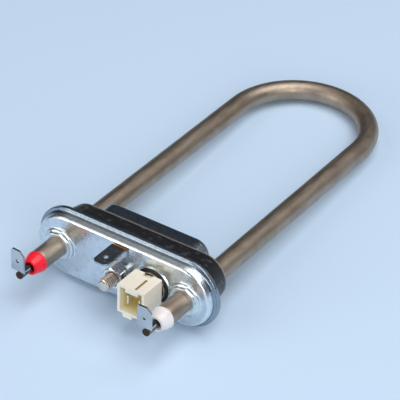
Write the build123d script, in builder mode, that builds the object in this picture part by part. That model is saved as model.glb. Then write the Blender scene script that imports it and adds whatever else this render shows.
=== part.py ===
from build123d import *
import os

# Tubular immersion heater: one hairpin tube on a drawn, plated flange, a rubber
# seal squeezed between the flange and a clamp plate by a central stud and nut,
# and a plug-in temperature sensor beside the stud.
#
# Frame: origin at the centre of the flange's seating plane, where it meets the
# wall of the tub. +X runs along the flange, +Y from the seat to the bend, and
# +Z up. Plane.XZ faces the front, so its offsets are distances in front of the
# seat.

os.makedirs("parts", exist_ok=True)

# ---------------------------------------------------------------- fits
press_gap = 0.02            # radial room where a part is brazed, crimped or pressed
slip_gap = 0.15             # radial room where a part slides in by hand

# ---------------------------------------------------------------- heating tube
tube_od = 8.0
tube_wall = 0.7
leg_spacing = 55.0          # between the axes of the two legs
bend_centre = 111.1         # seat to the centre of the bend
stub_length = 17.5          # seat to the cut front end of the tube

# ---------------------------------------------------------------- heating conductor
pin_od = 3.0
pin_stand_out = 11.3        # cut end of the tube to the front end of a terminal pin
pin_tail = 24.0             # seat to the hidden end of a terminal pin
pin_end_round = 0.4
coil_od = 3.6               # outside of the wound resistance wire

# ---------------------------------------------------------------- end beads
bead_length = 4.6
bead_od_left = 8.5
bead_od_right = 9.0
bead_foot_step = 0.35       # from the widest part of the bead in to its foot
bead_nose_od = 6.0
bead_belly = 0.3            # place of the widest part, as a share of the length
bead_spigot = 3.0           # length of the bead inside the tube
bead_mouth_od = 4.6
bead_mouth_depth = 1.6

# ---------------------------------------------------------------- terminal tabs
tab_width = 5.8
tab_height = 9.4
tab_thickness = 0.8
tab_shift = 0.7             # blade's middle from the pin's axis, away from the sensor
tab_inner_chamfer = 1.9     # cut corner on the right of each blade
tab_outer_chamfer = 0.5     # cut corner on the left of each blade
tab_turn_left = -4.0        # degrees that the left tab was welded askew
tab_turn_right = 1.0
tab_hole_d = 1.6
tab_hole_rise = 4.9         # foot of the blade to the centre of its hole
tab_bend_radius = 0.9       # outside of the fold
tab_setback = 0.2           # front face of the blade behind the end of the pin
foot_length = 4.2
foot_width = 3.2
foot_sink = 0.35            # depth that the weld lets the foot into the pin's line

# ---------------------------------------------------------------- flange
arc_spacing = 50.0          # between the centres of the two round ends
rim_height = 28.4
pan_height = 25.7
flange_depth = 5.0          # seat to the front face
sheet = 1.5                 # thickness of the drawn sheet
pan_edge_radius = 2.4
rim_edge_radius = 0.5
rim_root_radius = 0.8

# collars drawn out of the sheet and crimped on the tube
collar_base_od = 12.6
collar_top_od = 10.4
collar_height = 2.0
collar_step = 0.6
collar_edge = 0.35
crimp_count = 8
crimp_width = 0.9
crimp_depth = 0.5

# ---------------------------------------------------------------- seal and clamp
seal_length = 11.5          # seat to the back of the seal's body
seal_front_height = 22.0
seal_back_height = 18.4
seal_arc_spacing = 49.4
seal_edge_radius = 1.0
seal_back_radius = 0.5
clamp_length = 5.8
clamp_height = 19.0
clamp_corner = 5.7
clamp_sheet = 1.2
clamp_edge_radius = 1.6
clamp_tube_gap = 0.5

# ---------------------------------------------------------------- stud and nut
stud_d = 5.0
stud_reach = 16.4           # seat to the front end of the stud
stud_chamfer = 0.6
stud_head_d = 11.0
stud_head_height = 2.0
nut_flats = 8.0
nut_height = 4.2
nut_chamfer = 0.45
nut_turn = -12.0            # degrees from flat side up
washer_od = 10.0
washer_height = 0.8
hole_room = 0.25            # radial room of the holes for the stud

# ---------------------------------------------------------------- earth tab
earth_width = 6.1
earth_shift = -0.3
earth_thickness = 0.8
earth_rise = 11.4           # axis of the stud to the top of the blade
earth_reach = 18.2          # seat to the front end of the blade
earth_bend_radius = 1.3
earth_base_drop = 4.6       # axis of the stud to the lower edge of the base
earth_corner = 1.3
earth_dimple_d = 1.8
earth_dimple_setback = 4.3
earth_slot_d = 1.5
earth_slot_rise = 7.5

# ---------------------------------------------------------------- temperature sensor
sensor_x = 13.7
sensor_hole_d = 14.2
sensor_lip_height = 0.5     # burr drawn up round the sensor's hole
sensor_lip_wall = 0.6
grommet_bore = 10.9
grommet_front = 0.9         # grommet in front of the flange's face
grommet_back = 2.0          # grommet behind the sheet
can_flange_od = 11.8
can_flange_height = 0.5
can_groove_od = 11.0        # shallow groove in the front of the can's flange
can_groove_id = 10.4
can_groove_depth = 0.3
can_od = 10.6
can_wall = 0.4
can_length = 8.5            # large end of the can, from its flange
probe_od = 6.2
probe_reach = 24.0          # seat to the tip of the probe
thermistor_d = 2.4
thermistor_setback = 1.2    # between the bead and the inside of the tip
lead_d = 0.5
lead_spacing = 1.1

# ---------------------------------------------------------------- connector
plug_width = 11.4
plug_height = 12.0
plug_z = 0.4                # middle of the connector above the sensor's axis
plug_front = 18.4           # seat to the mouth of the connector
plug_depth = 10.7
plug_wall = 1.0
plug_cavity = 8.2
plug_corner = 0.35
rib_width = 5.2
rib_height = 1.4
rib_shift = 0.3
groove_width = 1.0
groove_depth = 0.5
groove_shift = 1.7
groove_start = 0.6
groove_length = 6.8
notch_width = 3.6
notch_shift = 0.3
notch_length = 1.8
notch_depth = 3.0
key_width = 3.8
key_height = 1.5
key_shift = -1.5
key_length = 8.0
blade_width = 0.6
blade_height = 3.4
blade_spacing = 5.0
blade_drop = 1.0
blade_setback = 1.7

# ---------------------------------------------------------------- derived values
leg_x = leg_spacing / 2
tube_r = tube_od / 2
bore_r = tube_r - tube_wall
pin_r = pin_od / 2
face_in = flange_depth - sheet
bead_front = stub_length + bead_length
pin_reach = stub_length + pin_stand_out
fill_front = stub_length - bead_spigot
clamp_back = seal_length + clamp_length
clamp_nest = clamp_length - clamp_sheet
clamp_width = leg_spacing - tube_od - 2 * clamp_tube_gap
washer_front = flange_depth + earth_thickness + washer_height
nut_front = washer_front + nut_height
can_front = flange_depth + grommet_front + can_flange_height
can_back = can_front - can_flange_height - can_length
plug_back = plug_front - plug_depth
leg_places = [(-leg_x, 0), (leg_x, 0)]


def ahead(distance):
    """Plane facing the front, this far in front of the seat."""
    return Plane.XZ.offset(distance)


def behind(distance):
    """Plane facing the front, this far behind the seat."""
    return Plane.XZ.offset(-distance)


def hairpin(start_y):
    """Path along both legs and the bend, from start_y back to start_y."""
    with BuildLine() as path:
        Line((-leg_x, start_y), (-leg_x, bend_centre))
        ThreePointArc((-leg_x, bend_centre), (0, bend_centre + leg_x), (leg_x, bend_centre))
        Line((leg_x, bend_centre), (leg_x, start_y))
    return path.wire()


def leg_start(start_y):
    """Plane across the left leg, facing the bend."""
    return Plane(origin=(-leg_x, start_y, 0), x_dir=(1, 0, 0), z_dir=(0, 1, 0))


def axis_at(x):
    """Axis along Y through x."""
    return Axis((x, 0, 0), (0, 1, 0))


def half_section(points, x):
    """Closed outline of (radius, y) points beside the axis at x, ready to revolve."""
    with BuildSketch(Plane.XY) as section:
        with BuildLine():
            Polyline(*[(x + radius, y) for radius, y in points], close=True)
        make_face()
    return section.sketch


# ================================================================ heating tube
with BuildPart() as heating_tube:
    with BuildSketch(leg_start(-stub_length)):
        Circle(tube_r)
        Circle(bore_r, mode=Mode.SUBTRACT)
    sweep(path=hairpin(-stub_length))

heating_tube.part.label = "heating_tube"

# The wound wire is drawn as the rod that it fills, powder core included.
with BuildPart() as resistance_coil:
    with BuildSketch(leg_start(pin_tail)):
        Circle(coil_od / 2)
    sweep(path=hairpin(pin_tail))

resistance_coil.part.label = "resistance_coil"

with BuildPart() as magnesia_fill:
    with BuildSketch(leg_start(-fill_front)):
        Circle(bore_r - press_gap)
    sweep(path=hairpin(-fill_front))
    with BuildSketch(leg_start(pin_tail)):
        Circle(coil_od / 2 + press_gap)
    sweep(path=hairpin(pin_tail), mode=Mode.SUBTRACT)
    with BuildSketch(ahead(fill_front)):
        with Locations(*leg_places):
            Circle(pin_r + press_gap)
    extrude(amount=-(fill_front + pin_tail), mode=Mode.SUBTRACT)

magnesia_fill.part.label = "magnesia_fill"


# ================================================================ ends of the legs
def terminal_pin(x):
    """Cold pin, with a rounded front end."""
    with BuildPart() as pin:
        with BuildSketch(ahead(pin_reach)):
            with Locations((x, 0)):
                Circle(pin_r)
        extrude(amount=-(pin_reach + pin_tail))
        fillet(pin.edges().sort_by(Axis.Y)[0], pin_end_round)
    return pin.part


def end_bead(x, widest_od):
    """Insulating bead: a spigot in the tube and a barrel with a dished mouth."""
    foot_r = widest_od / 2 - bead_foot_step
    inner = x + pin_r + press_gap
    spigot = x + bore_r - press_gap
    with BuildPart() as bead:
        with BuildSketch(Plane.XY):
            with BuildLine():
                Line((inner, -fill_front), (spigot, -fill_front))
                Line((spigot, -fill_front), (spigot, -stub_length))
                Line((spigot, -stub_length), (x + foot_r, -stub_length))
                ThreePointArc(
                    (x + foot_r, -stub_length),
                    (x + widest_od / 2, -stub_length - bead_length * bead_belly),
                    (x + bead_nose_od / 2, -bead_front),
                )
                Line((x + bead_nose_od / 2, -bead_front), (x + bead_mouth_od / 2, -bead_front))
                Line((x + bead_mouth_od / 2, -bead_front), (inner, -bead_front + bead_mouth_depth))
                Line((inner, -bead_front + bead_mouth_depth), (inner, -fill_front))
            make_face()
        revolve(axis=axis_at(x))
    return bead.part


def terminal_tab(x, turn):
    """Folded push-on blade on a foot, turned about the pin's front end and welded to the pin."""
    blade_front = pin_reach - tab_setback
    foot_z = pin_r - foot_sink
    with BuildPart() as blank:
        with BuildSketch(ahead(blade_front - tab_thickness)):
            with Locations((x - tab_shift, foot_z + tab_height / 2)):
                Rectangle(tab_width, tab_height)
        extrude(amount=tab_thickness)
        top = blank.edges().filter_by(Axis.Y).group_by(Axis.Z)[-1].sort_by(Axis.X)
        chamfer(top[-1:], tab_inner_chamfer)
        chamfer(top[:1], tab_outer_chamfer)
        with BuildSketch(Plane.XY.offset(foot_z)):
            with Locations((x, -blade_front + foot_length / 2)):
                Rectangle(foot_width, foot_length)
        extrude(amount=tab_thickness)
        fold = blank.edges().filter_by(Axis.X).group_by(Axis.Z)[0].sort_by(Axis.Y)[:1]
        fillet(fold, tab_bend_radius)
        with BuildSketch(ahead(blade_front)):
            with Locations((x - tab_shift, foot_z + tab_hole_rise)):
                Circle(tab_hole_d / 2)
        extrude(amount=-tab_thickness, mode=Mode.SUBTRACT)
    with BuildPart() as tab:
        add(blank.part.rotate(Axis((x, -blade_front, 0), (0, 0, 1)), turn))
        with BuildSketch(ahead(pin_reach)):
            with Locations((x, 0)):
                Circle(pin_r + press_gap)
        extrude(amount=-(foot_length + tab_width), mode=Mode.SUBTRACT)
    return tab.part


sides = {"left": -leg_x, "right": leg_x}
pins = {side: terminal_pin(x) for side, x in sides.items()}
beads = {
    "left": end_bead(-leg_x, bead_od_left),
    "right": end_bead(leg_x, bead_od_right),
}
tabs = {
    "left": terminal_tab(-leg_x, tab_turn_left),
    "right": terminal_tab(leg_x, tab_turn_right),
}


# ================================================================ flange
with BuildPart() as pan_hollow:
    with BuildSketch(Plane.XZ):
        SlotCenterToCenter(arc_spacing, pan_height - 2 * sheet)
    extrude(amount=face_in)
    fillet(pan_hollow.faces().sort_by(Axis.Y)[0].edges(), pan_edge_radius - sheet)

with BuildPart() as front_plate:
    with BuildSketch(Plane.XZ):
        SlotCenterToCenter(arc_spacing, rim_height)
    extrude(amount=sheet)
    with BuildSketch(ahead(sheet)):
        SlotCenterToCenter(arc_spacing, pan_height)
    extrude(amount=face_in)
    ledge = front_plate.faces().filter_by(Axis.Y).sort_by(Axis.Y)[1]
    fillet(ledge.inner_wires()[0].edges(), rim_root_radius)
    ledge = front_plate.faces().filter_by(Axis.Y).sort_by(Axis.Y)[1]
    fillet(ledge.outer_wire().edges(), rim_edge_radius)
    fillet(front_plate.faces().sort_by(Axis.Y)[0].edges(), pan_edge_radius)
    # collars for the tube, with a stepped foot
    for leg in (-leg_x, leg_x):
        collar = half_section(
            [
                (tube_r - tube_wall, -face_in - sheet / 2),
                (collar_base_od / 2, -face_in - sheet / 2),
                (collar_base_od / 2, -flange_depth - collar_step + collar_edge),
                (collar_base_od / 2 - collar_edge, -flange_depth - collar_step),
                (collar_top_od / 2 + collar_edge, -flange_depth - collar_step),
                (collar_top_od / 2, -flange_depth - collar_step - collar_edge),
                (collar_top_od / 2, -flange_depth - collar_height + collar_edge),
                (collar_top_od / 2 - collar_edge, -flange_depth - collar_height),
                (tube_r - tube_wall, -flange_depth - collar_height),
            ],
            leg,
        )
        revolve(collar, axis=axis_at(leg))
    # low burr round the sensor's hole
    burr = half_section(
        [
            (sensor_hole_d / 2 - sensor_lip_wall, -face_in - sheet / 2),
            (sensor_hole_d / 2 + sensor_lip_wall, -face_in - sheet / 2),
            (sensor_hole_d / 2 + sensor_lip_wall, -flange_depth),
            (sensor_hole_d / 2 + sensor_lip_wall / 3, -flange_depth - sensor_lip_height),
            (sensor_hole_d / 2 - sensor_lip_wall, -flange_depth - sensor_lip_height),
        ],
        sensor_x,
    )
    revolve(burr, axis=axis_at(sensor_x))
    add(pan_hollow.part, mode=Mode.SUBTRACT)
    # holes for the tube, the stud and the sensor
    with BuildSketch(ahead(flange_depth + collar_height)):
        with Locations(*leg_places):
            Circle(tube_r + press_gap)
        Circle(stud_d / 2 + hole_room)
        with Locations((sensor_x, 0)):
            Circle(sensor_hole_d / 2)
    extrude(amount=-(flange_depth + collar_height), mode=Mode.SUBTRACT)
    # crimp marks in the front edge of each collar
    with BuildSketch(ahead(flange_depth + collar_height)):
        for leg in (-leg_x, leg_x):
            with Locations((leg, 0)):
                with PolarLocations(collar_top_od / 2, crimp_count):
                    Rectangle(crimp_width, crimp_width)
    extrude(amount=-crimp_depth, mode=Mode.SUBTRACT)

front_plate.part.label = "front_plate"

# ================================================================ seal and clamp
with BuildPart() as gasket:
    # body behind the seat, narrowing to the back
    with BuildSketch(Plane.XZ):
        SlotCenterToCenter(arc_spacing, seal_front_height)
    with BuildSketch(behind(seal_length)):
        SlotCenterToCenter(seal_arc_spacing, seal_back_height)
    loft()
    fillet(gasket.faces().sort_by(Axis.Y)[-1].edges(), seal_back_radius)
    # front of the seal, nested in the flange's hollow
    with BuildSketch(Plane.XZ):
        SlotCenterToCenter(arc_spacing, seal_front_height)
    extrude(amount=face_in - slip_gap)
    fillet(gasket.faces().sort_by(Axis.Y)[0].edges(), seal_edge_radius)
    # boss inside the clamp plate
    with BuildSketch(behind(seal_length)):
        inset = 2 * (clamp_sheet + slip_gap)
        RectangleRounded(clamp_width - inset, clamp_height - inset, clamp_corner - inset / 2)
    extrude(amount=-(clamp_nest - slip_gap))
    with BuildSketch(ahead(face_in)):
        with Locations(*leg_places):
            Circle(tube_r + press_gap)
        Circle(stud_d / 2 + slip_gap)
        with Locations((sensor_x, 0)):
            Circle(probe_od / 2 + slip_gap)
    extrude(amount=-(face_in + clamp_back), mode=Mode.SUBTRACT)
    # pocket for the grommet and the wide end of the sensor
    with BuildSketch(ahead(face_in)):
        with Locations((sensor_x, 0)):
            Circle(sensor_hole_d / 2)
    extrude(amount=-(face_in - can_back + slip_gap), mode=Mode.SUBTRACT)

gasket.part.label = "gasket"

with BuildPart() as clamp_hollow:
    with BuildSketch(behind(seal_length)):
        inset = 2 * clamp_sheet
        RectangleRounded(clamp_width - inset, clamp_height - inset, clamp_corner - inset / 2)
    extrude(amount=-clamp_nest)

with BuildPart() as clamp_plate:
    with BuildSketch(behind(seal_length)):
        RectangleRounded(clamp_width, clamp_height, clamp_corner)
    extrude(amount=-clamp_length)
    fillet(clamp_plate.faces().sort_by(Axis.Y)[-1].edges(), clamp_edge_radius)
    add(clamp_hollow.part, mode=Mode.SUBTRACT)
    with BuildSketch(behind(seal_length)):
        Circle(stud_d / 2 + press_gap)
        with Locations((sensor_x, 0)):
            Circle(probe_od / 2 + hole_room)
    extrude(amount=-clamp_length, mode=Mode.SUBTRACT)

clamp_plate.part.label = "clamp_plate"

# ================================================================ stud, nut, washer
with BuildPart() as stud:
    with BuildSketch(ahead(stud_reach)):
        Circle(stud_d / 2)
    extrude(amount=-(stud_reach + clamp_back))
    chamfer(stud.faces().sort_by(Axis.Y)[0].edges(), stud_chamfer)
    with BuildSketch(behind(clamp_back)):
        Circle(stud_head_d / 2)
    extrude(amount=-stud_head_height)
    fillet(stud.faces().sort_by(Axis.Y)[-1].edges(), stud_head_height / 2)

stud.part.label = "stud"

with BuildPart() as washer:
    with BuildSketch(ahead(washer_front)):
        Circle(washer_od / 2)
        Circle(stud_d / 2 + slip_gap, mode=Mode.SUBTRACT)
    extrude(amount=-washer_height)

washer.part.label = "washer"

nut_round_r = nut_flats / 2 * 1.1
with BuildPart() as nut:
    with BuildSketch(ahead(nut_front)):
        RegularPolygon(nut_flats / 2, 6, major_radius=False, rotation=nut_turn)
    extrude(amount=-nut_height)
    with BuildSketch(ahead(nut_front)):
        Circle(nut_flats)
        Circle(nut_round_r, mode=Mode.SUBTRACT)
    extrude(amount=-nut_chamfer, taper=-60, mode=Mode.SUBTRACT)
    with BuildSketch(ahead(nut_front)):
        Circle(stud_d / 2 + press_gap)
    extrude(amount=-nut_height, mode=Mode.SUBTRACT)
    chamfer(nut.edges().filter_by(GeomType.CIRCLE).sort_by(Axis.Y)[0], nut_chamfer / 2)

nut.part.label = "nut"

# ================================================================ earth tab
with BuildPart() as earth_tab:
    # base and upright on the flange's face
    with BuildSketch(ahead(flange_depth)):
        with Locations((earth_shift, (earth_rise - earth_base_drop) / 2)):
            Rectangle(earth_width, earth_rise + earth_base_drop)
        Circle(washer_od / 2)
    extrude(amount=earth_thickness)
    # blade folded forward over the stud
    with BuildSketch(Plane.XY.offset(earth_rise - earth_thickness)):
        with Locations((earth_shift, -(earth_reach + flange_depth) / 2)):
            Rectangle(earth_width, earth_reach - flange_depth)
    extrude(amount=earth_thickness)
    corners = earth_tab.edges().filter_by(Axis.Z).group_by(Axis.Y)[0]
    chamfer(corners, earth_corner)
    fold = earth_tab.edges().filter_by(Axis.X).group_by(Axis.Z)[-1].sort_by(Axis.Y)[-1:]
    fillet(fold, earth_bend_radius)
    inside = earth_tab.edges().filter_by(Axis.X).group_by(Axis.Z)[-2].sort_by(Axis.Y)[-1:]
    fillet(inside, earth_bend_radius - earth_thickness)
    with BuildSketch(Plane.XY.offset(earth_rise)):
        with Locations((earth_shift, -earth_reach + earth_dimple_setback)):
            Circle(earth_dimple_d / 2)
    extrude(amount=-earth_thickness, mode=Mode.SUBTRACT)
    with BuildSketch(ahead(flange_depth + earth_thickness)):
        Circle(stud_d / 2 + slip_gap)
        with Locations((earth_shift, earth_slot_rise)):
            Circle(earth_slot_d / 2)
    extrude(amount=-earth_thickness, mode=Mode.SUBTRACT)

earth_tab.part.label = "earth_tab"

# ================================================================ temperature sensor
with BuildPart() as grommet:
    with BuildSketch(ahead(flange_depth + grommet_front)):
        with Locations((sensor_x, 0)):
            Circle(sensor_hole_d / 2 - slip_gap)
            Circle(grommet_bore / 2, mode=Mode.SUBTRACT)
    extrude(amount=-(grommet_front + sheet + grommet_back))
    fillet(grommet.faces().sort_by(Axis.Y)[0].edges(), 0.3)

grommet.part.label = "grommet"

can_r = can_od / 2
probe_r = probe_od / 2
with BuildPart() as sensor_can:
    can_section = half_section(
        [
            (can_r - can_wall, -can_front),
            (can_groove_id / 2, -can_front),
            (can_groove_id / 2, -can_front + can_groove_depth),
            (can_groove_od / 2, -can_front + can_groove_depth),
            (can_groove_od / 2, -can_front),
            (can_flange_od / 2, -can_front),
            (can_flange_od / 2, -can_front + can_flange_height),
            (can_r, -can_front + can_flange_height),
            (can_r, -can_back),
            (probe_r, -can_back),
            (probe_r, probe_reach - probe_r),
            (probe_r * 0.87, probe_reach - probe_r * 0.5),
            (probe_r * 0.5, probe_reach - probe_r * 0.13),
            (0, probe_reach),
            (0, probe_reach - can_wall),
            (probe_r * 0.5 - can_wall * 0.6, probe_reach - probe_r * 0.13 - can_wall),
            (probe_r - can_wall, probe_reach - probe_r),
            (probe_r - can_wall, -can_back - can_wall),
            (can_r - can_wall, -can_back - can_wall),
        ],
        sensor_x,
    )
    revolve(can_section, axis=axis_at(sensor_x))

sensor_can.part.label = "sensor_can"

neck_r = can_r - can_wall - slip_gap
neck_back = can_back + can_wall + slip_gap
blade_back = plug_back + 1.0
with BuildPart() as connector_housing:
    with BuildSketch(ahead(plug_back)):
        with Locations((sensor_x, plug_z)):
            RectangleRounded(plug_width, plug_height, plug_corner)
    extrude(amount=plug_depth)
    # key rail under the body
    with BuildSketch(ahead(plug_front)):
        with Locations((sensor_x + key_shift, plug_z - plug_height / 2)):
            Rectangle(key_width, 2 * key_height)
    extrude(amount=-key_length)
    # open mouth with the thick rib in its roof
    with BuildSketch(ahead(plug_front)):
        with Locations((sensor_x, plug_z)):
            Rectangle(plug_width - 2 * plug_wall, plug_height - 2 * plug_wall)
        with Locations((sensor_x + rib_shift, plug_z + plug_height / 2 - plug_wall)):
            Rectangle(rib_width, 2 * rib_height, mode=Mode.SUBTRACT)
    extrude(amount=-plug_cavity, mode=Mode.SUBTRACT)
    # latch groove along the roof
    with BuildSketch(ahead(plug_front - groove_start)):
        with Locations((sensor_x + groove_shift, plug_z + plug_height / 2)):
            Rectangle(groove_width, 2 * groove_depth)
    extrude(amount=-groove_length, mode=Mode.SUBTRACT)
    # notch in the back of the roof
    with BuildSketch(ahead(plug_back)):
        with Locations((sensor_x + notch_shift, plug_z + plug_height / 2)):
            Rectangle(notch_width, 2 * notch_depth)
    extrude(amount=notch_length, mode=Mode.SUBTRACT)
    # round neck in the can
    with BuildSketch(ahead(plug_back)):
        with Locations((sensor_x, 0)):
            Circle(neck_r)
    extrude(amount=-(plug_back - neck_back - slip_gap))
    # slots for the contacts
    with BuildSketch(ahead(plug_front)):
        with Locations((sensor_x, plug_z - blade_drop)):
            with GridLocations(blade_spacing, 0, 2, 1):
                Rectangle(blade_width + 2 * press_gap, blade_height + 2 * press_gap)
    extrude(amount=-(plug_front - neck_back), mode=Mode.SUBTRACT)

connector_housing.part.label = "connector_housing"


def contact(side):
    """Flat contact blade, through the back of the connector into its neck."""
    with BuildPart() as blade:
        with BuildSketch(ahead(plug_front - blade_setback)):
            with Locations((sensor_x + side * blade_spacing / 2, plug_z - blade_drop)):
                Rectangle(blade_width, blade_height)
        extrude(amount=-(plug_front - blade_setback - neck_back - slip_gap))
        front = blade.faces().sort_by(Axis.Y)[0].edges()
        chamfer(front, blade_width / 4)
    return blade.part


bead_y = probe_reach - can_wall - thermistor_setback - thermistor_d / 2
with BuildPart() as thermistor:
    with Locations((sensor_x, bead_y, 0)):
        Sphere(thermistor_d / 2)

thermistor.part.label = "thermistor"


def lead(side):
    """Bare wire from the connector's neck to the thermistor."""
    wire_front = neck_back - slip_gap
    wire_back = bead_y - thermistor_d / 2
    with BuildPart() as wire:
        with BuildSketch(behind(wire_back)):
            with Locations((sensor_x + side * lead_spacing / 2, 0)):
                Circle(lead_d / 2)
        extrude(amount=wire_back + wire_front)
    return wire.part


# ================================================================ export
exported = [
    heating_tube.part,
    resistance_coil.part,
    magnesia_fill.part,
    front_plate.part,
    gasket.part,
    clamp_plate.part,
    stud.part,
    washer.part,
    nut.part,
    earth_tab.part,
    grommet.part,
    sensor_can.part,
    connector_housing.part,
    thermistor.part,
]

for side in sides:
    pins[side].label = f"terminal_pin_{side}"
    beads[side].label = f"bead_{side}"
    tabs[side].label = f"tab_{side}"
    exported += [pins[side], beads[side], tabs[side]]

for side, sign in (("left", -1), ("right", 1)):
    blade = contact(sign)
    blade.label = f"contact_{side}"
    wire = lead(sign)
    wire.label = f"lead_{side}"
    exported += [blade, wire]

for piece in exported:
    export_step(piece, f"parts/{piece.label}.step")
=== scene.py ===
import math

import bmesh
import bpy
import numpy as np
from bpy.props import FloatProperty, FloatVectorProperty, IntProperty, PointerProperty
from bpy.types import Operator, Panel, PropertyGroup
from mathutils import Matrix, Vector


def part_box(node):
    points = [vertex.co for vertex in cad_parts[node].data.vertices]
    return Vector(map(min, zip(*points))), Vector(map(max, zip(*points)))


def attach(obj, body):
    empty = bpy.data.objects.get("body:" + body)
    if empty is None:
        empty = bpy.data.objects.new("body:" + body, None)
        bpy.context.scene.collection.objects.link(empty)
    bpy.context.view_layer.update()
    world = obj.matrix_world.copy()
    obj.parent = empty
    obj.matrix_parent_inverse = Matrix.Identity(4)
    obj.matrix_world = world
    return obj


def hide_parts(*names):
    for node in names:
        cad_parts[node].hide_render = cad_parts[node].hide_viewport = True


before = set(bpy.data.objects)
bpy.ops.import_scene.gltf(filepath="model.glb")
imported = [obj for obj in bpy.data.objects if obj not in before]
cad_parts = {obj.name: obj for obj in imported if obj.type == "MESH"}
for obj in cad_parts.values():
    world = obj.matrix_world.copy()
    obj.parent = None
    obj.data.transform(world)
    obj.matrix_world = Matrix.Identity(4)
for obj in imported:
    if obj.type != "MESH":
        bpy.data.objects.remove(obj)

bl_info = {
    "name": "Immersion heater looks",
    "version": (1, 0, 0),
    "blender": (4, 5, 0),
    "location": "View3D > Sidebar > Heater",
    "description": "Dresses the hairpin heater: sheath, flange, seal, terminals, sensor and stage",
    "category": "Add Mesh",
}

MM = 0.001
TAU = 2 * math.pi
ROOT = "root"


# ------------------------------------------------------------------ sizes read from the frame
def node_box(name):
    """Lowest and highest corner of a CAD node, in metres, as arrays."""
    low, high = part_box(name)
    return np.array(low), np.array(high)


TUBE_LOW, TUBE_HIGH = node_box("heating_tube")
TUBE_RADIUS = (TUBE_HIGH[2] - TUBE_LOW[2]) / 2
LEG_X = TUBE_HIGH[0] - TUBE_RADIUS
BEND_Y = TUBE_HIGH[1] - TUBE_RADIUS - LEG_X
STUB_Y = TUBE_LOW[1]
SIDES = {"left": -LEG_X, "right": LEG_X}
FACE_Y = node_box("earth_tab")[1][1]            # flange's front face, which the earth tab lies on
SEAL_BACK_Y = node_box("clamp_plate")[0][1]     # seal's back, which the clamp plate lies on
RIM_LOW, RIM_HIGH = node_box("front_plate")

# the plain flange, which the drawn one is made from; its back lies at y = 0
SHEET = 1.5 * MM
LIP_WIDTH = 1.35 * MM           # from the pan's wall out to the rim
ROOT_RADIUS = 0.8 * MM          # between the wall and the lip
ROOT_Y = -SHEET - ROOT_RADIUS   # where the wall ends and the root's rounding starts
PLAIN_EDGE_RADIUS = 2.4 * MM    # between the wall and the front face


# ------------------------------------------------------------------ settings
class HeaterSheathSettings(PropertyGroup):
    colour: FloatVectorProperty(
        name="Sheath colour", description="Base colour of the annealed sheath",
        default=(0.43, 0.35, 0.28), subtype="COLOR", min=0, max=1)
    roughness: FloatProperty(
        name="Sheath roughness", description="Roughness of the brushed sheath",
        default=0.46, min=0, max=1)
    wall: FloatProperty(
        name="Wall", description="Thickness of the tube's wall", default=0.7 * MM, unit="LENGTH")
    flattening: FloatProperty(
        name="Flattening", description="Share by which the bend is narrower in its plane",
        default=0.03, min=0, max=0.2)


class HeaterBeadSettings(PropertyGroup):
    left_colour: FloatVectorProperty(
        name="Left bead colour", description="Colour of the bead on the left leg",
        default=(0.98, 0.012, 0.035), subtype="COLOR", min=0, max=1)
    right_colour: FloatVectorProperty(
        name="Right bead colour", description="Colour of the bead on the right leg",
        default=(0.88, 0.82, 0.83), subtype="COLOR", min=0, max=1)
    nose_radius: FloatProperty(
        name="Nose radius", description="Radius of the bead at its front", default=3.0 * MM,
        unit="LENGTH")
    reach: FloatProperty(
        name="Reach", description="Length by which the nose stands out past the solid's",
        default=0.8 * MM, unit="LENGTH")
    shoulder: FloatProperty(
        name="Shoulder", description="Place of the widest ring, as a share of the bead's length",
        default=0.12, min=0.01, max=0.9)
    mouth_radius: FloatProperty(
        name="Mouth radius", description="Radius of the dished mouth", default=2.3 * MM,
        unit="LENGTH")
    mouth_depth: FloatProperty(
        name="Mouth depth", description="Depth of the dished mouth", default=1.6 * MM,
        unit="LENGTH")


class HeaterStudSettings(PropertyGroup):
    diameter: FloatProperty(
        name="Stud diameter", description="Over the crests of the thread", default=5.0 * MM,
        unit="LENGTH")
    pitch: FloatProperty(
        name="Thread pitch", description="From crest to crest", default=0.95 * MM, unit="LENGTH")
    colour: FloatVectorProperty(
        name="Stud colour", description="Colour of the stud's steel",
        default=(0.70, 0.655, 0.61), subtype="COLOR", min=0, max=1)
    across_flats: FloatProperty(
        name="Across flats", description="Width of the nut from flat to flat", default=8.0 * MM,
        unit="LENGTH")
    corner_cut: FloatProperty(
        name="Corner cut", description="How far the nut's turned-off corners stand out past the flats",
        default=0.5 * MM, unit="LENGTH")
    nut_turn: FloatProperty(
        name="Nut turn", description="Degrees by which the nut's flats are turned", default=12.0)
    nut_colour: FloatVectorProperty(
        name="Nut colour", description="Colour of the nut's plating",
        default=(0.80, 0.80, 0.79), subtype="COLOR", min=0, max=1)


class HeaterFlangeSettings(PropertyGroup):
    colour: FloatVectorProperty(
        name="Plating colour", description="Colour of the bright plating",
        default=(0.72, 0.78, 0.82), subtype="COLOR", min=0, max=1)
    roughness: FloatProperty(
        name="Plating roughness", description="Roughness of the bright plating",
        default=0.15, min=0, max=1)
    root_shift: FloatProperty(
        name="Root shift", description="How far the pan's wall stands in from the plain solid's",
        default=0.15 * MM, unit="LENGTH")
    edge_radius: FloatProperty(
        name="Edge radius", description="Radius of the pan's front edge", default=1.2 * MM,
        unit="LENGTH")
    draft: FloatProperty(
        name="Draft", description="Degrees by which the pan's wall leans in", default=10.0)
    edge_end: FloatProperty(
        name="Edge end", description="Degrees left between the edge and the flat face where they meet",
        default=14.0)
    crimps: IntProperty(
        name="Crimps", description="Number of crimps round each collar", default=9, min=3)


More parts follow.
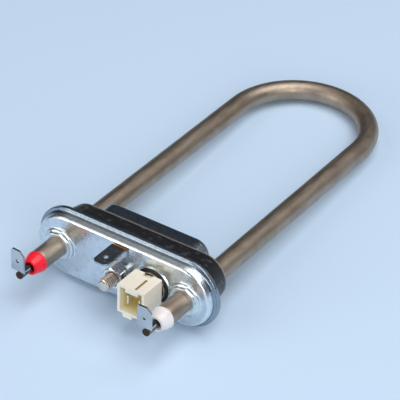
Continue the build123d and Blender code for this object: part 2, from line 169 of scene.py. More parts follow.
class HeaterStageSettings(PropertyGroup):
    floor_colour: FloatVectorProperty(
        name="Floor colour", description="Colour of the plain floor",
        default=(0.60, 0.76, 0.95), subtype="COLOR", min=0, max=1)
    world_colour: FloatVectorProperty(
        name="World colour", description="Colour of the light from all round",
        default=(0.62, 0.72, 0.85), subtype="COLOR", min=0, max=1)
    world_strength: FloatProperty(
        name="World strength", description="Strength of the light from all round",
        default=0.08, min=0)
    aim: FloatVectorProperty(
        name="Aim", description="Point that the camera looks at",
        default=(-2.67 * MM, 48.03 * MM, 0.0), subtype="XYZ", unit="LENGTH")
    azimuth: FloatProperty(
        name="Azimuth", description="Degrees that the camera stands round to the right",
        default=33.624)
    elevation: FloatProperty(
        name="Elevation", description="Degrees that the camera stands above the heater",
        default=34.862)
    roll: FloatProperty(
        name="Roll", description="Degrees that the camera is turned about its own axis",
        default=1.686)
    camera_distance: FloatProperty(
        name="Camera distance", description="From the aim point to the camera",
        default=0.8765, unit="LENGTH")
    lens: FloatProperty(
        name="Lens", description="Focal length of the camera, in millimetres", default=212.8)


# ------------------------------------------------------------------ nodes
class Nodes:
    """A short way to add nodes to a tree and to link them."""

    def __init__(self, tree):
        self.tree = tree

    def add(self, kind, values=None, **attributes):
        """New node; values maps socket names or numbers to a value or to another socket."""
        node = self.tree.nodes.new(kind)
        for name, value in attributes.items():
            setattr(node, name, value)
        for key, value in (values or {}).items():
            if isinstance(value, bpy.types.NodeSocket):
                self.tree.links.new(value, node.inputs[key])
            else:
                node.inputs[key].default_value = value
        return node

    def math(self, operation, a, b=0.0):
        """Result socket of a maths node."""
        return self.add("ShaderNodeMath", {0: a, 1: b}, operation=operation).outputs[0]

    def ramp(self, value, start, stop, low=0.0, high=1.0):
        """Socket that goes from low to high while the value goes from start to stop."""
        return self.add("ShaderNodeMapRange", {
            "Value": value, "From Min": start, "From Max": stop, "To Min": low, "To Max": high,
        }).outputs[0]

    def mix(self, factor, a, b):
        """Colour between a and b."""
        return self.add("ShaderNodeMix", {0: factor, 6: a, 7: b}, data_type="RGBA").outputs[2]

    def noise(self, place, scale, detail):
        """Value of a noise."""
        return self.add("ShaderNodeTexNoise", {
            "Vector": place, "Scale": scale, "Detail": detail,
        }).outputs[0]


def rgba(colour):
    """Colour with full alpha."""
    return (*colour, 1.0)


def grain_group():
    """Shader group: two noises on stretched Object coordinates. Puts out a fine grain, a broad
    mottling and their mean as a height."""
    name = "Grain And Mottle"
    if name in bpy.data.node_groups:
        return bpy.data.node_groups[name]
    tree = bpy.data.node_groups.new(name, "ShaderNodeTree")
    for label, kind, default in (
        ("Grain Scale", "NodeSocketFloat", 900.0),
        ("Mottle Scale", "NodeSocketFloat", 90.0),
        ("Stretch", "NodeSocketVector", (1.0, 1.0, 1.0)),
    ):
        socket = tree.interface.new_socket(label, in_out="INPUT", socket_type=kind)
        socket.default_value = default
    for label in ("Grain", "Mottle", "Height"):
        tree.interface.new_socket(label, in_out="OUTPUT", socket_type="NodeSocketFloat")
    n = Nodes(tree)
    given = n.add("NodeGroupInput").outputs
    place = n.add("ShaderNodeTexCoord").outputs["Object"]
    drawn = n.add("ShaderNodeVectorMath", {0: place, 1: given["Stretch"]}, operation="MULTIPLY")
    grain = n.noise(drawn.outputs[0], given["Grain Scale"], 4.0)
    mottle = n.noise(place, given["Mottle Scale"], 3.0)
    height = n.math("MULTIPLY", n.math("ADD", grain, mottle), 0.5)
    n.add("NodeGroupOutput", {"Grain": grain, "Mottle": mottle, "Height": height})
    return tree


# ------------------------------------------------------------------ zones of a finish
def zone_along(axis, start, stop):
    """Zone that grows from 0 at start to 1 at stop along an axis (0, 1 or 2), in metres."""
    def build(n, place):
        part = n.add("ShaderNodeSeparateXYZ", {0: place}).outputs[axis]
        return n.ramp(part, start, stop)
    return build


def zone_between(axis, low, high, fade_low, fade_high):
    """Zone from low to high along an axis, which fades out over the given length at each end."""
    return zone_all(zone_along(axis, low, low + fade_low), zone_along(axis, high, high - fade_high))


def zone_off_axis(x, start, stop):
    """Zone that grows from 0 at start to 1 at stop with the distance from the line along Y
    through x."""
    def build(n, place):
        beside = n.add("ShaderNodeVectorMath", {0: place, 1: (-x, 0, 0)}, operation="ADD")
        flat = n.add("ShaderNodeVectorMath", {0: beside.outputs[0], 1: (1, 0, 1)},
                     operation="MULTIPLY")
        distance = n.add("ShaderNodeVectorMath", {0: flat.outputs[0]}, operation="LENGTH")
        return n.ramp(distance.outputs["Value"], start, stop)
    return build


def zone_all(*zones):
    """Zone where every one of the given zones is full."""
    def build(n, place):
        mask = 1.0
        for zone in zones:
            mask = n.math("MULTIPLY", zone(n, place), mask)
        return mask
    return build


# ------------------------------------------------------------------ materials
TINT_SHADE = 0.8        # how much darker a finish's mottling is where it has no tint of its own
ZONE_SHADE = 0.85       # the same inside a zone


def finish_material(name, colour, metallic, roughness, grain=900.0, mottle=90.0, stretch=(1, 1, 1),
                    tint=None, tint_range=(0.45, 0.65), rough_spread=0.08, bump=0.1,
                    bump_depth=0.05 * MM, zones=()):
    """Principled material whose colour, roughness and normal vary with the grain group. Each
    of the zones has three parts: where, as the zone functions give it, and the colour and the
    roughness there."""
    material = bpy.data.materials.new(name)
    material.use_nodes = True
    tree = material.node_tree
    tree.nodes.clear()
    n = Nodes(tree)
    group = n.add("ShaderNodeGroup", node_tree=grain_group())
    group.inputs["Grain Scale"].default_value = grain
    group.inputs["Mottle Scale"].default_value = mottle
    group.inputs["Stretch"].default_value = stretch
    wash = n.ramp(group.outputs["Mottle"], *tint_range)
    base = n.mix(wash, rgba(colour), rgba(tint or (c * TINT_SHADE for c in colour)))
    rough = n.ramp(group.outputs["Grain"], 0.3, 0.7, max(0.0, roughness - rough_spread),
                   roughness + rough_spread)
    place = n.add("ShaderNodeTexCoord").outputs["Object"]
    for zone, zone_colour, zone_roughness in zones:
        mask = zone(n, place)
        shaded = n.mix(wash, rgba(zone_colour), rgba(c * ZONE_SHADE for c in zone_colour))
        base = n.mix(mask, base, shaded)
        step = n.math("MULTIPLY", mask, n.math("SUBTRACT", zone_roughness, rough))
        rough = n.math("ADD", rough, step)
    relief = n.add("ShaderNodeBump", {
        "Strength": bump, "Distance": bump_depth, "Height": group.outputs["Height"]})
    shader = n.add("ShaderNodeBsdfPrincipled", {
        "Base Color": base, "Metallic": metallic, "Roughness": rough, "Normal": relief.outputs[0]})
    n.add("ShaderNodeOutputMaterial", {"Surface": shader.outputs[0]})
    return material


def sheath_material(settings):
    """Annealed steel: grey brown with drawn lines along the legs and warmer patches."""
    return finish_material(
        "annealed sheath", settings.colour, 1.0, settings.roughness, grain=1200.0, mottle=120.0,
        stretch=(1, 0.12, 1), tint=(0.36, 0.285, 0.22), bump=0.2)


def plating_material(settings):
    """Bright zinc plating with an orange-peel grain: duller where it was stretched, on the pan's wall
    and the collars. On the wall the colour is also a little lighter, a painted highlight. From the lip
    backwards it is painted darker, a painted reflection of dark surroundings, which the clamp plate
    also takes."""
    # painted highlight: the wall zone's colour is lighter than the plating's
    wall = zone_along(1, FACE_Y + 0.02 * MM, FACE_Y + 0.15 * MM)
    # painted shade: the darker colour from the lip backwards stands in for the dark reflection that
    # the lip shows
    lip = zone_along(1, ROOT_Y - 0.7 * MM, ROOT_Y - 0.1 * MM)
    collar = zone_along(1, FACE_Y - 0.02 * MM, FACE_Y - 0.2 * MM)
    return finish_material(
        "bright plating", settings.colour, 1.0, settings.roughness, grain=1400.0, mottle=480.0,
        tint=(0.60, 0.66, 0.71), tint_range=(0.5, 0.68), rough_spread=0.12, bump=1.0,
        bump_depth=0.2 * MM,
        zones=[(wall, (0.80, 0.84, 0.87), 0.28), (lip, (0.31, 0.37, 0.43), 0.22),
               (collar, (0.75, 0.82, 0.84), 0.32)])


def bead_material(side, colour):
    """Glazed ceramic in the bead's own colour."""
    return finish_material(
        f"{side} bead", colour, 0.0, 0.30, grain=700.0, mottle=150.0, rough_spread=0.12,
        bump=0.25, bump_depth=0.08 * MM)


def stud_material(settings, front):
    """Warm grey steel, with painted shade in the roots of the thread behind its front."""
    crest = settings.diameter / 2
    # painted shade: the thread's roots are coloured dark, where shade falls between the crests
    roots = zone_all(zone_off_axis(0.0, crest - 0.15 * MM, crest - 0.4 * MM),
                     zone_along(1, front + 0.7 * MM, front + 1.2 * MM))
    return finish_material(
        "stud steel", settings.colour, 1.0, 0.36, grain=1500.0, mottle=300.0,
        tint=(0.60, 0.50, 0.42), rough_spread=0.1, bump=0.2,
        zones=[(roots, (0.08, 0.055, 0.045), 0.5)])


def nut_material(settings):
    """Smooth plated steel."""
    return finish_material(
        "nut steel", settings.nut_colour, 1.0, 0.26, mottle=160.0, rough_spread=0.06, bump=0.08)


def heated_blade_material():
    """Steel of the earth tab, browned by heat where it is folded forwards."""
    high = node_box("earth_tab")[1]
    tip = zone_all(zone_along(1, high[1] - 3.0 * MM, high[1] - 1.2 * MM),
                   zone_along(2, high[2] - 1.6 * MM, high[2] - 0.6 * MM))
    return finish_material(
        "heated blade", (0.50, 0.53, 0.58), 1.0, 0.2, zones=[(tip, (0.48, 0.24, 0.12), 0.25)])


def pin_material():
    """Steel of the terminal pins with a dark base colour, a painted dark reflection standing in for
    the dark surroundings they mirror, and with scale on their front ends.
    """
    front = node_box("terminal_pin_left")[0][1]
    end = zone_along(1, front + 0.6 * MM, front + 0.3 * MM)
    # painted shade: the pins' low base colour stands in for the darkness they reflect; the ends'
    # darker colour is scale
    return finish_material(
        "pin steel", (0.20, 0.18, 0.17), 1.0, 0.24, zones=[(end, (0.07, 0.045, 0.03), 0.4)])


def can_material():
    """Warm metal of the sensor's can, with painted shade inside its rim."""
    low, high = node_box("sensor_can")
    # painted shade: the can is coloured dark inside its rim, where shade falls in the gap
    inside = zone_off_axis((low[0] + high[0]) / 2, 5.35 * MM, 5.2 * MM)
    return finish_material(
        "sensor can", (0.84, 0.78, 0.68), 1.0, 0.3, zones=[(inside, (0.14, 0.10, 0.08), 0.4)])


def rubber_material():
    """Black rubber with grey dust, and a painted highlight: paler along the seal's back edge."""
    # painted highlight: a pale line along the seal's back edge
    painted_ridge_highlight = zone_between(1, SEAL_BACK_Y - 1.0 * MM, SEAL_BACK_Y, 0.3 * MM, 0.05 * MM)
    return finish_material(
        "black rubber", (0.010, 0.010, 0.011), 0.0, 0.4, grain=1400.0, mottle=420.0,
        tint=(0.055, 0.056, 0.060), tint_range=(0.54, 0.66), rough_spread=0.12,
        zones=[(painted_ridge_highlight, (0.26, 0.23, 0.21), 0.35)])


def connector_material():
    """Cream plastic, yellower inside the mouth, where light comes through its walls, and
    shaded in the groove of its roof."""
    low, high = node_box("connector_housing")
    middle, front, roof = (low[0] + high[0]) / 2, low[1], high[2]
    half_width, height, depth, fade = 5.2 * MM, 11.1 * MM, 8.5 * MM, 0.1 * MM
    top, mouth = roof - 0.5 * MM, front + 0.1 * MM
    groove_x, groove_half, groove_floor = middle + 1.7 * MM, 0.6 * MM, roof - 0.8 * MM
    # painted light: the yellower cavity colour stands in for light coming through the walls
    cavity = zone_all(
        zone_between(0, middle - half_width, middle + half_width, fade, fade),
        zone_between(2, top - height, top, fade, fade),
        zone_between(1, mouth, mouth + depth, 2.9 * MM, fade))
    # painted shade: the groove's dark olive colour
    groove = zone_all(
        zone_between(0, groove_x - groove_half, groove_x + groove_half, fade, fade),
        zone_between(2, groove_floor, roof - 0.03 * MM, fade, 0.07 * MM),
        zone_along(1, front + 0.2 * MM, front + 0.5 * MM))
    return finish_material(
        "cream plastic", (0.90, 0.84, 0.72), 0.0, 0.4, tint=(0.88, 0.81, 0.68),
        zones=[(cavity, (0.98, 0.86, 0.45), 0.45), (groove, (0.42, 0.33, 0.13), 0.5)])


def paint(piece, material):
    """Gives the piece its material."""
    piece.data.materials.clear()
    piece.data.materials.append(material)


def paint_nodes(names, material):
    """The same finish on several CAD nodes."""
    for name in names:
        paint(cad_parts[name], material)


# ------------------------------------------------------------------ surfaces
def shade(mesh, crease):
    """Smooth shading, with edges sharper than crease degrees left sharp."""
    mesh.polygons.foreach_set("use_smooth", np.ones(len(mesh.polygons), bool))
    mesh.set_sharp_from_angle(angle=math.radians(crease))


def riding(name, mesh):
    """New piece with this mesh, on the root body."""
    piece = bpy.data.objects.new(name, mesh)
    bpy.context.scene.collection.objects.link(piece)
    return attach(piece, ROOT)


def merge_doubles(source, target, distance):
    """Writes the source mesh into the target with the points that lie together merged."""
    weld = bmesh.new()
    weld.from_mesh(source)
    bmesh.ops.remove_doubles(weld, verts=weld.verts, dist=distance)
    weld.to_mesh(target)
    weld.free()


def surface(name, points, wrap_u=True, wrap_v=True, crease=40.0):
    """Piece from a grid of points (rows v, columns u, 3): one quad between each four neighbours,
    joined end to end where it wraps. Faces are turned outwards by the sign of the enclosed
    volume, and edges sharper than crease degrees stay sharp."""
    rows, columns = points.shape[:2]
    index = np.arange(rows * columns).reshape(rows, columns)
    right, down = np.roll(index, -1, 1), np.roll(index, -1, 0)
    quads = np.stack([index, right, np.roll(right, -1, 0), down], -1)
    quads = quads[: rows if wrap_v else rows - 1, : columns if wrap_u else columns - 1]
    quads = quads.reshape(-1, 4)
    flat = points.reshape(-1, 3)
    a, b, c, d = (flat[quads[:, k]] for k in range(4))
    volume = (np.cross(a, b) * c + np.cross(a, c) * d).sum()
    if volume < 0:
        quads = quads[:, ::-1]
    mesh = bpy.data.meshes.new(name)
    mesh.vertices.add(len(flat))
    mesh.vertices.foreach_set("co", flat.astype(np.float32).ravel())
    mesh.loops.add(quads.size)
    mesh.loops.foreach_set("vertex_index", quads.ravel().astype(np.int32))
    mesh.polygons.add(len(quads))
    mesh.polygons.foreach_set("loop_start", np.arange(0, quads.size, 4, dtype=np.int32))
    mesh.update(calc_edges=True)
    merge_doubles(mesh, mesh, 1e-7)
    shade(mesh, crease)
    return riding(name, mesh)


def lathe(profile, x, columns=64, wobble=None):
    """Points of a closed profile of (radius, y) turned about the line along Y through x:
    (x + r cos t, y, r sin t). wobble(t, y) is added to the radius."""
    angle = np.linspace(0, TAU, columns, endpoint=False)[None, :]
    radius, along = profile[:, :1], profile[:, 1:] + 0 * angle
    radius = radius + (0 if wobble is None else wobble(angle, along) * (radius > 1e-6))
    return np.stack([x + radius * np.cos(angle), along, radius * np.sin(angle)], -1)


def rounded(points, radius, steps=5):
    """A closed outline of (a, b) points with each corner replaced by a quadratic curve that
    starts and ends at most radius from the corner."""
    points = np.asarray(points, float)

    def cut(leg):
        """The part of a side that its corner's curve takes up."""
        return np.minimum(radius / np.linalg.norm(leg, axis=1), 0.49)[:, None] * leg

    start = points + cut(np.roll(points, 1, 0) - points)
    end = points + cut(np.roll(points, -1, 0) - points)
    t = np.linspace(0, 1, steps)[None, :, None]
    curve = (1 - t) ** 2 * start[:, None] + 2 * t * (1 - t) * points[:, None] + t ** 2 * end[:, None]
    return curve.reshape(-1, 2)


def hairpin(count_leg, count_bend):
    """Centre line of the tube: along the left leg, round the half circle of the bend and back
    along the right leg. Returns the points and the unit normals that point out of the loop."""
    leg = np.linspace(STUB_Y, BEND_Y, count_leg)
    turn = np.linspace(math.pi, 0, count_bend + 2)[1:-1]
    one, none = np.ones(count_leg), np.zeros(count_leg)
    out_x = np.concatenate([-one, np.cos(turn), one])
    out_y = np.concatenate([none, np.sin(turn), none])
    along = np.concatenate([leg, np.full(count_bend, BEND_Y), leg[::-1]])
    return np.stack([LEG_X * out_x, along + LEG_X * out_y], -1), np.stack([out_x, out_y], -1)


def lean_in(points, settings):
    """Moves the outer skin of the plain pan so that its wall leans in by the draft to a tighter
    front edge. A point's reach is its distance from the line between the centres of the two
    round ends, and its turn is its angle on the plain edge's quarter circle, from 0 on the wall
    to 90 degrees on the front face. The wall runs straight from the root to the new edge's start
    and takes up the plain edge's first two facets, in equal steps. The other facets are spread
    over a circle of the edge radius, which stops short of the face by the edge end."""
    wall, end_x = RIM_HIGH[2] - LIP_WIDTH, RIM_HIGH[0] - RIM_HIGH[2]
    facet = 8.2         # degrees from one row of points to the next on the plain edge
    tiny = 0.01 * MM
    y = points[:, 1]
    beside = np.sign(points[:, 0]) * np.maximum(np.abs(points[:, 0]) - end_x, 0)
    reach = np.hypot(beside, points[:, 2])
    skin = (reach > wall - PLAIN_EDGE_RADIUS - tiny) & (reach < wall + ROOT_RADIUS + tiny)
    skin &= y < -SHEET + tiny
    skin &= (y < FACE_Y + SHEET - 0.05 * MM) | (reach > wall - SHEET + 0.3 * MM)
    edge = skin & (y < FACE_Y + PLAIN_EDGE_RADIUS + tiny)
    turn = np.degrees(np.arctan2(FACE_Y + PLAIN_EDGE_RADIUS - y, reach - wall + PLAIN_EDGE_RADIUS))

    lean, last = math.radians(settings.draft), math.radians(90 - settings.edge_end)
    radius = settings.edge_radius
    centre_y = FACE_Y + radius * math.sin(last)
    start_y = centre_y - radius * math.sin(lean)
    root_reach = wall - settings.root_shift
    start_reach = root_reach - (ROOT_Y - start_y) * math.tan(lean)
    centre_reach = start_reach - radius * math.cos(lean)
    on_wall = turn < 2 * facet + 0.1
    down = np.clip((turn + facet) / (3 * facet), 0, 1)
    angle = lean + np.clip((turn - 2 * facet) / (90 - 2 * facet), 0, 1) * (last - lean)
    new_y = np.where(on_wall, ROOT_Y + down * (start_y - ROOT_Y), centre_y - radius * np.sin(angle))
    new_reach = np.where(on_wall, root_reach + down * (start_reach - root_reach),
                         centre_reach + radius * np.cos(angle))
    new_reach = np.where(edge, new_reach, reach - settings.root_shift)
    scale = np.where(skin, new_reach / np.maximum(reach, tiny), 1)
    return np.stack([points[:, 0] + beside * (scale - 1), np.where(edge, new_y, y),
                     points[:, 2] * scale], -1)


# ------------------------------------------------------------------ operators
class HEATER_OT_flange(Operator):
    """Give the drawn flange its leaning wall and tighter front edge, and crimp the two collars"""

    bl_idname = "heater.flange"
    bl_label = "Flange and collars"

    def execute(self, context):
        settings = context.scene.heater_flange
        material = plating_material(settings)
        mesh = bpy.data.meshes.new("flange_drawn")
        merge_doubles(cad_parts["front_plate"].data, mesh, 1e-6)
        if "custom_normal" in mesh.attributes:
            mesh.attributes.remove(mesh.attributes["custom_normal"])
        flat = np.empty(len(mesh.vertices) * 3, np.float32)
        mesh.vertices.foreach_get("co", flat)
        points = lean_in(flat.reshape(-1, 3).astype(float), settings)
        mesh.vertices.foreach_set("co", points.astype(np.float32).ravel())
        shade(mesh, 12)
        flange = riding("flange_drawn", mesh)
        paint(flange, material)
        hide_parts("front_plate")

        # radius and distance in front of the face: foot, shoulder, step and mouth
        foot_radius, mouth, sunk = 7.5 * MM, 2.06 * MM, 0.3 * MM
        bore = TUBE_RADIUS + 0.03 * MM
        outline = np.array([
            (foot_radius, -0.04 * MM), (6.6 * MM, 0.15 * MM), (6.45 * MM, 0.85 * MM),
            (5.75 * MM, 1.2 * MM), (5.45 * MM, mouth), (bore, mouth), (bore, -sunk),
            (foot_radius, -sunk)])
        outline[:, 1] = FACE_Y - outline[:, 1]

        def crimp(t, y):
            """Waves round the collar: deep on the crimped neck, faint on the shoulder."""
            depth = np.where(y < FACE_Y - 0.9 * MM, 0.13 * MM, 0.04 * MM)
            return depth * (np.cos(settings.crimps * t) - 0.2) * (y < FACE_Y - 0.3 * MM)

        for side, x in SIDES.items():
            points = lathe(rounded(outline, 0.3 * MM), x, columns=108, wobble=crimp)
            collar = surface(f"collar_{side}_crimped", points, crease=50)
            paint(collar, material)
        return {"FINISHED"}


class HEATER_OT_sheath(Operator):
    """Sweep the tube along the hairpin, a little flattened in the bend and drawn in at the ends"""

    bl_idname = "heater.sheath"
    bl_label = "Heating tube"

    def execute(self, context):
        settings = context.scene.heater_sheath
        draw_in, draw_length, fade_in = 0.12 * MM, 0.25 * MM, LEG_X / 3
        centre, out = hairpin(150, 120)
        bend = np.clip((centre[:, 1] - BEND_Y) / fade_in, 0, 1)
        from_end = np.abs(centre[:, 1] - STUB_Y)
        angle = np.linspace(0, TAU, 48, endpoint=False)

        def ring(radius):
            """Rings round the centre line: radius times (cos t along out, sin t along Z)."""
            squeeze = 1 - settings.flattening * bend[:, None] * np.cos(angle)[None, :] ** 2
            r = radius[:, None] * squeeze
            flat = centre[:, None, :] + out[:, None, :] * (r * np.cos(angle))[..., None]
            return np.concatenate([flat, (r * np.sin(angle))[..., None]], -1)

        outer = TUBE_RADIUS - draw_in * np.exp(-(from_end / draw_length) ** 2)
        inner = np.full(len(centre), TUBE_RADIUS - settings.wall)
        tube = surface("sheath", np.concatenate([ring(outer), ring(inner)[::-1]]))
        paint(tube, sheath_material(settings))
        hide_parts("heating_tube")
        return {"FINISHED"}


class HEATER_OT_beads(Operator):
    """Turn the two insulating beads, each with a dished mouth"""

    bl_idname = "heater.beads"
    bl_label = "End beads"
    slimness = 0.97     # radius of the widest ring as a share of the solid's

    def execute(self, context):
        settings = context.scene.heater_beads
        colours = {"left": settings.left_colour, "right": settings.right_colour}
        for side, x in SIDES.items():
            low, high = node_box(f"bead_{side}")
            front, back = low[1] - settings.reach, high[1]
            widest = (high[0] - low[0]) / 2 * self.slimness
            material = bead_material(side, colours[side])
            bead = surface(f"bead_{side}_glazed", self.turned(settings, x, widest, front, back))
            paint(bead, material)
            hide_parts(f"bead_{side}")
        return {"FINISHED"}

    def turned(self, settings, x, widest, front, back):
        """Points of a bead. The barrel swells from its foot to the widest ring at the shoulder
        and then tapers to the nose, by a power of the length past the shoulder; the mouth is
        dished down to the bore, and the spigot lies hidden inside the tube."""
        foot, bore, spigot = STUB_Y, 1.55 * MM, 3.2 * MM
        nose, shoulder = settings.nose_radius, settings.shoulder
        corner, foot_step, taper_power, barrel_share = 0.25 * MM, 0.25 * MM, 1.35, 0.97
        ripple, twist = 0.06 * MM, 0.9 / MM
        share = np.linspace(0, 1, 24)
        taper = np.clip((share - shoulder) / (1 - shoulder), 0, 1) ** taper_power
        radius = widest - (widest - nose) * taper
        radius -= foot_step * np.clip(1 - share / shoulder, 0, 1) ** 2
        barrel = np.stack([radius, foot - share * (foot - front) * barrel_share], -1)
        mouth = rounded([(nose - corner, front), (settings.mouth_radius, front),
                         (bore, front + settings.mouth_depth), (bore, front + 3 * MM)], corner)
        hidden = np.array([(bore, back), (spigot, back), (spigot, foot)])

        def uneven(t, y):
            """Slow ripple of the glaze, twice round the bead and twisting along it."""
            return ripple * np.sin(2 * t + twist * y) * (y < foot) * (y > front + 0.5 * MM)

        return lathe(np.concatenate([barrel, mouth, hidden]), x, columns=72, wobble=uneven)


class HEATER_OT_stud(Operator):
    """Cut the stud's thread as a helix"""

    bl_idname = "heater.stud"
    bl_label = "Stud"
    columns = 56

    def execute(self, context):
        settings = context.scene.heater_stud
        low, high = node_box("stud")
        front, back, rim = low[1], high[1], high[0]
        points = np.concatenate([self.tip(front), self.thread(settings, front),
                                 self.head(rim, back)])
        stud = surface("stud_threaded", points, wrap_v=False, crease=35)
        paint(stud, stud_material(settings, front))
        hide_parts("stud")
        return {"FINISHED"}

    def tip(self, front):
        """Slightly crowned front end, closed on the axis."""
        outline = np.array([(0.0, front + 0.1 * MM), (1.2 * MM, front + 0.02 * MM),
                            (1.75 * MM, front), (1.9 * MM, front + 0.12 * MM)])
        return lathe(outline, 0, self.columns)

    def thread(self, settings, front):
        """Helix: the radius falls from the crest to the root while the fraction of
        y / pitch - t / (2 pi) goes from a half to a whole turn. The front millimetre tapers in,
        its roots less than its crests."""
        flank, flat, depth = 2.6, 0.2, settings.pitch * 0.61
        start, run_in, run_in_depth = 0.35 * MM, 1.0 * MM, 0.55 * MM
        along = np.linspace(front + start, 0.0, 330)[:, None]
        angle = np.linspace(0, TAU, self.columns, endpoint=False)[None, :]
        phase = (along / settings.pitch - angle / TAU) % 1.0
        tooth = np.clip(np.abs(phase - 0.5) * flank - flat, 0, 1)
        tapered = run_in_depth * (1 - np.clip((along - front) / run_in, 0, 1))
        radius = settings.diameter / 2 - depth * tooth - tapered * (1 - tooth * 0.7)
        return np.stack([radius * np.cos(angle), along + 0 * angle, radius * np.sin(angle)], -1)

    def head(self, rim, back):
        """Plain shank and the round head behind the clamp plate."""
        shank, head_height, chamfer = 2.4 * MM, 2 * MM, 0.3 * MM
        front = back - head_height
        outline = np.array([
            (shank, 0.2 * MM), (shank, front), (rim, front), (rim, front + head_height / 2),
            (rim - chamfer, back - 0.35 * MM), (rim - 1.2 * MM, back), (0.0, back)])
        return lathe(outline, 0, self.columns)


class HEATER_OT_nut(Operator):
    """Shape the hexagon nut with turned-off corners"""

    bl_idname = "heater.nut"
    bl_label = "Nut"

    def execute(self, context):
        settings = context.scene.heater_stud
        low, high = node_box("nut")
        front, back = low[1], high[1]
        half, bore, mouth = settings.across_flats / 2, 2.55 * MM, 3.1 * MM
        bevel, crown, crown_fall = 0.52 * MM, 0.62 * MM, 0.85 * MM
        back_inset, back_edge, countersink = 0.15 * MM, 0.12 * MM, 0.45 * MM
        angle = np.linspace(0, TAU, 240, endpoint=False)
        sixth = TAU / 6
        past_flat = (angle - math.radians(settings.nut_turn) + sixth / 2) % sixth - sixth / 2
        hexagon = np.minimum(half / np.cos(past_flat), half + settings.corner_cut)

        def cone(outset):
            """Hexagon cut by a circle that stands this far out past the flats."""
            return np.minimum(hexagon, half + outset)

        rings = [(bore, back), (cone(-back_inset), back), (hexagon, back - back_edge)]
        for share in np.linspace(0, 1, 7):
            rings.append((cone(crown - crown_fall * share), front + (1 - share) * bevel))
        rings += [(mouth, front), (bore, front + countersink)]
        points = np.stack([
            np.stack([r * np.cos(angle), y + 0 * angle, r * np.sin(angle)], -1) for r, y in rings])
        nut = surface("nut_crowned", points, crease=24)
        paint(nut, nut_material(settings))
        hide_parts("nut")
        return {"FINISHED"}


class HEATER_OT_metal(Operator):
    """Paint the metal pieces of the heater"""

    bl_idname = "heater.metal"
    bl_label = "Metal pieces"

    def execute(self, context):
        paint_nodes(["clamp_plate"], plating_material(context.scene.heater_flange))
        grey = finish_material("grey plated steel", (0.62, 0.64, 0.63), 1.0, 0.3)
        paint_nodes(["washer"], grey)
        tinned = finish_material("tinned blade", (0.60, 0.63, 0.66), 1.0, 0.16)
        paint_nodes(["tab_left", "tab_right"], tinned)
        paint_nodes(["earth_tab"], heated_blade_material())
        paint_nodes(["terminal_pin_left", "terminal_pin_right"], pin_material())
        paint_nodes(["sensor_can"], can_material())
        contact = finish_material("contact metal", (0.85, 0.84, 0.80), 1.0, 0.2)
        paint_nodes(["contact_left", "contact_right", "lead_left", "lead_right"], contact)
        wire = finish_material("wire", (0.35, 0.33, 0.31), 1.0, 0.4)
        paint_nodes(["resistance_coil"], wire)
        return {"FINISHED"}


class HEATER_OT_plain(Operator):
    """Paint the rubber, plastic and ceramic pieces of the heater"""

    bl_idname = "heater.plain"
    bl_label = "Rubber, plastic and ceramic pieces"

    def execute(self, context):
        paint_nodes(["gasket", "grommet"], rubber_material())
        paint_nodes(["connector_housing"], connector_material())
        magnesia = finish_material("magnesia", (0.85, 0.85, 0.83), 0.0, 0.8)
        paint_nodes(["magnesia_fill"], magnesia)
        thermistor = finish_material("thermistor", (0.1, 0.08, 0.07), 0.0, 0.4)
        paint_nodes(["thermistor"], thermistor)
        return {"FINISHED"}


# name, place, point aimed at, width and height in metres, power in watts, colour
SOFTBOXES = (
    ("key softbox", (-0.68, -1.3, 0.28), (0, 0.03, 0), (0.9, 0.7), 6.5, (1, 0.98, 0.95)),
    ("top softbox", (0.45, 0.1, 1.35), (0, 0.03, 0), (1.3, 1.3), 16, (1, 1, 1)),
    ("left softbox", (-0.74, -0.66, 0.98), (0, 0.03, 0), (0.8, 0.8), 2.6, (1, 0.97, 0.93)),
    ("rear softbox", (-0.63, 0.52, 1.15), (0, 0.0, 0), (0.45, 0.45), 0.22, (1, 1, 1)),
    ("front softbox", (1.05, -0.9, 0.65), (0, 0.03, 0), (0.9, 0.9), 8.5, (1, 1, 1)),
    ("back softbox", (0.86, 1.0, 0.58), (0, 0.08, 0), (0.9, 0.9), 0.8, (1, 0.97, 0.92)),
)


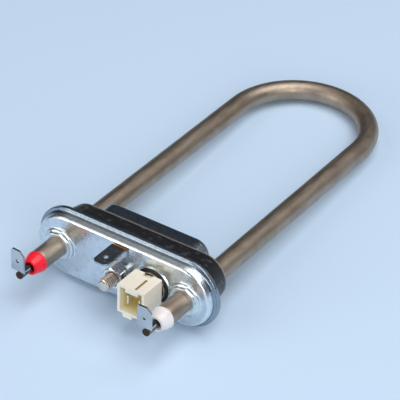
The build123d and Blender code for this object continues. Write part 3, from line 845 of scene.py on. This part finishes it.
class HEATER_OT_stage(Operator):
    """Build the floor, the lights, the world and the camera"""

    bl_idname = "heater.stage"
    bl_label = "Stage"

    def execute(self, context):
        settings = context.scene.heater_stage
        self.floor(context, settings)
        self.world(context, settings)
        for softbox in SOFTBOXES:
            self.softbox(context, *softbox)
        self.camera(context, settings)
        context.scene.view_settings.view_transform = "Standard"
        return {"FINISHED"}

    def floor(self, context, settings):
        """Flat floor, leaning a little so that it lies just below the flange's rim and the bend."""
        half, gap = 3.0, 0.3 * MM
        slope = (TUBE_LOW[2] - RIM_LOW[2]) / TUBE_HIGH[1]
        corners = half * np.array([(-1, -1), (1, -1), (1, 1), (-1, 1)])
        heights = RIM_LOW[2] - gap + slope * corners[:, 1]
        mesh = bpy.data.meshes.new("floor")
        mesh.from_pydata(np.c_[corners, heights].tolist(), [], [(0, 1, 2, 3)])
        floor = bpy.data.objects.new("floor", mesh)
        context.scene.collection.objects.link(floor)
        material = bpy.data.materials.new("floor")
        material.use_nodes = True
        shader = material.node_tree.nodes["Principled BSDF"]
        shader.inputs["Base Color"].default_value = rgba(settings.floor_colour)
        shader.inputs["Roughness"].default_value = 0.85
        floor.data.materials.append(material)

    def world(self, context, settings):
        """Faint even light from all round."""
        world = bpy.data.worlds.new("studio")
        world.use_nodes = True
        background = world.node_tree.nodes["Background"].inputs
        background["Color"].default_value = rgba(settings.world_colour)
        background["Strength"].default_value = settings.world_strength
        context.scene.world = world

    def softbox(self, context, name, place, aim, size, power, colour):
        """Rectangular light at a place, turned towards its aim."""
        lamp = bpy.data.lights.new(name, "AREA")
        lamp.shape = "RECTANGLE"
        lamp.size, lamp.size_y = size
        lamp.energy = power
        lamp.color = colour
        holder = bpy.data.objects.new(name, lamp)
        holder.location = place
        holder.rotation_euler = (Vector(aim) - Vector(place)).to_track_quat("-Z", "Y").to_euler()
        context.scene.collection.objects.link(holder)

    def camera(self, context, settings):
        """Camera at its azimuth, elevation and distance from the aim, rolled about its axis."""
        azimuth, elevation, roll = (
            math.radians(turn) for turn in (settings.azimuth, settings.elevation, settings.roll))
        back = Vector((math.sin(azimuth) * math.cos(elevation),
                       -math.cos(azimuth) * math.cos(elevation), math.sin(elevation)))
        right = (-back).cross(Vector((0, 0, 1))).normalized()
        up = right.cross(-back)
        across = right * math.cos(roll) + up * math.sin(roll)
        upward = -right * math.sin(roll) + up * math.cos(roll)
        data = bpy.data.cameras.new("camera")
        data.lens = settings.lens
        data.sensor_width = 36.0
        camera = bpy.data.objects.new("camera", data)
        turn = Matrix((across, upward, back)).transposed().to_4x4()
        place = Vector(settings.aim) + back * settings.camera_distance
        camera.matrix_world = Matrix.Translation(place) @ turn
        context.scene.collection.objects.link(camera)
        context.scene.camera = camera


# ------------------------------------------------------------------ panel and registration
OPERATORS = (HEATER_OT_flange, HEATER_OT_sheath, HEATER_OT_beads, HEATER_OT_stud, HEATER_OT_nut,
             HEATER_OT_metal, HEATER_OT_plain, HEATER_OT_stage)
SETTINGS = {"heater_flange": HeaterFlangeSettings, "heater_sheath": HeaterSheathSettings,
            "heater_beads": HeaterBeadSettings, "heater_stud": HeaterStudSettings,
            "heater_stage": HeaterStageSettings}


class HEATER_PT_panel(Panel):
    """Lists the heater's operators and, below them, their settings"""

    bl_label = "Heater"
    bl_idname = "HEATER_PT_panel"
    bl_space_type = "VIEW_3D"
    bl_region_type = "UI"
    bl_category = "Heater"

    def draw(self, context):
        for operator in OPERATORS:
            self.layout.operator(operator.bl_idname)
        for name, group in SETTINGS.items():
            box = self.layout.box()
            for setting in group.__annotations__:
                box.prop(getattr(context.scene, name), setting)


def register():
    """Registers the classes and hangs the settings on the scene."""
    for name, group in SETTINGS.items():
        bpy.utils.register_class(group)
        setattr(bpy.types.Scene, name, PointerProperty(type=group))
    for item in (*OPERATORS, HEATER_PT_panel):
        bpy.utils.register_class(item)


def unregister():
    """Takes back what register does."""
    for item in (HEATER_PT_panel, *reversed(OPERATORS)):
        bpy.utils.unregister_class(item)
    for name, group in SETTINGS.items():
        delattr(bpy.types.Scene, name)
        bpy.utils.unregister_class(group)


def main():
    register()
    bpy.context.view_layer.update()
    bpy.ops.heater.flange()
    bpy.ops.heater.sheath()
    bpy.ops.heater.beads()
    bpy.ops.heater.stud()
    bpy.ops.heater.nut()
    bpy.ops.heater.metal()
    bpy.ops.heater.plain()
    bpy.ops.heater.stage()


if __name__ == "__main__":
    main()
